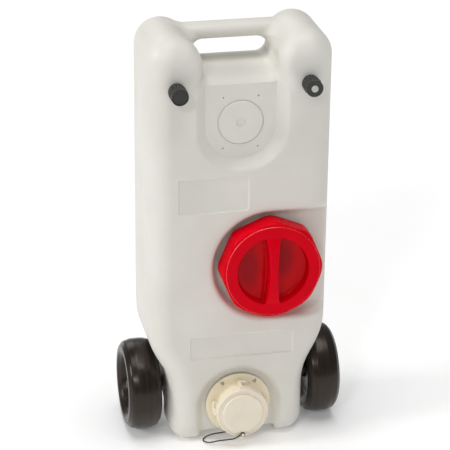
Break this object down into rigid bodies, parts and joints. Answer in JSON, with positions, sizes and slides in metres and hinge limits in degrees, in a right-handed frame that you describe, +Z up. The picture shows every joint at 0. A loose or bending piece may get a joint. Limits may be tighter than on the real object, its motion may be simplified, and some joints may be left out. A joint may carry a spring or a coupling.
{
  "type": "portable waste tote tank",
  "caption": "Upright moulded waste tank with a carry handle, screw fill cap, bayonet outlet with tethered cap, vent caps and two hollow wheels on an axle.",
  "frame": {"origin": "middle of the bounding box, on the floor that the tote stands on", "axes": "+Z up, the front with the caps faces -Y, +X to the right of someone who faces the front"},
  "size_m": [0.436, 0.24, 0.85],
  "materials": {
    "tank_plastic": "satin moulded polyethylene",
    "red_plastic": "glossy",
    "cream_plastic": "semi-gloss",
    "black_plastic": "satin",
    "pale_plastic": "satin",
    "wheel_plastic": "semi-gloss, fine circular streaks",
    "rubber": "matt",
    "cord_rubber": "matt",
    "steel": "zinc plated"
  },
  "bodies": {
    "tote": {"tank_shell": "tank_plastic", "outlet_gasket": "rubber", "outlet_flange": "cream_plastic", "outlet_screw_1": "steel", "outlet_screw_2": "steel", "outlet_screw_3": "steel", "outlet_screw_4": "steel", "tether_cord": "cord_rubber", "tether_eye_flange": "cord_rubber", "axle_rod": "steel", "left_axle_spacer": "black_plastic", "right_axle_spacer": "black_plastic", "left_wheel_washer": "steel", "right_wheel_washer": "steel", "left_axle_cap": "black_plastic", "right_axle_cap": "black_plastic"},
    "fill_lift": {"fill_cap_gasket": "rubber"},
    "fill_turn": {"fill_cap": "red_plastic"},
    "outlet_cap_turn": {"outlet_cap": "cream_plastic", "outlet_cap_seal": "rubber", "tether_pin": "cream_plastic", "tether_eye_cap": "cord_rubber"},
    "left_vent_lift": {"left_vent_seal": "rubber"},
    "left_vent_turn": {"left_vent_cap": "black_plastic"},
    "right_vent_lift": {"right_vent_seal": "rubber"},
    "right_vent_turn": {"right_vent_cap": "black_plastic", "right_vent_spring": "steel"},
    "right_vent_valve": {"right_vent_button": "pale_plastic", "right_vent_valve_disc": "rubber"},
    "left_wheel_body": {"left_wheel": "wheel_plastic"},
    "right_wheel_body": {"right_wheel": "wheel_plastic"}
  },
  "joints": [
    {"name": "fill_cap_rise", "type": "slide", "parent": "tote", "child": "fill_lift", "axis": [0, -1, 0], "range_m": [0, 0.0151]},
    {"name": "fill_cap_turn", "type": "hinge", "parent": "fill_lift", "child": "fill_turn", "pos_m": [0.058, -0.1, 0.382], "axis": [0, -1, 0], "range_deg": [0, 540]},
    {"name": "outlet_cap_bayonet", "type": "hinge", "parent": "tote", "child": "outlet_cap_turn", "pos_m": [0, -0.1, 0.079], "axis": [0, -1, 0], "range_deg": [0, 16], "deforming": ["tether_cord"]},
    {"name": "left_vent_rise", "type": "slide", "parent": "tote", "child": "left_vent_lift", "axis": [0, -1, 0], "range_m": [0, 0.0046]},
    {"name": "left_vent_turn", "type": "hinge", "parent": "left_vent_lift", "child": "left_vent_turn", "pos_m": [-0.128, -0.1, 0.756], "axis": [0, -1, 0], "range_deg": [0, 540]},
    {"name": "right_vent_rise", "type": "slide", "parent": "tote", "child": "right_vent_lift", "axis": [0, -1, 0], "range_m": [0, 0.0046]},
    {"name": "right_vent_turn", "type": "hinge", "parent": "right_vent_lift", "child": "right_vent_turn", "pos_m": [0.128, -0.1, 0.756], "axis": [0, -1, 0], "range_deg": [0, 540]},
    {"name": "right_vent_press", "type": "slide", "parent": "right_vent_turn", "child": "right_vent_valve", "axis": [0, 1, 0], "range_m": [0, 0.003], "stiffness_N_per_m": 300, "springref_m": -0.002, "deforming": ["right_vent_spring"]},
    {"name": "left_wheel_spin", "type": "hinge", "parent": "tote", "child": "left_wheel_body", "pos_m": [-0.184, 0.028, 0.092], "axis": [1, 0, 0], "continuous": true},
    {"name": "right_wheel_spin", "type": "hinge", "parent": "tote", "child": "right_wheel_body", "pos_m": [0.184, 0.028, 0.092], "axis": [1, 0, 0], "continuous": true}
  ],
  "couplings": [
    {"joint": "fill_cap_rise", "follows": "fill_cap_turn", "m_per_rad": 0.0015915},
    {"joint": "left_vent_rise", "follows": "left_vent_turn", "m_per_rad": 0.00047746},
    {"joint": "right_vent_rise", "follows": "right_vent_turn", "m_per_rad": 0.00047746}
  ]
}
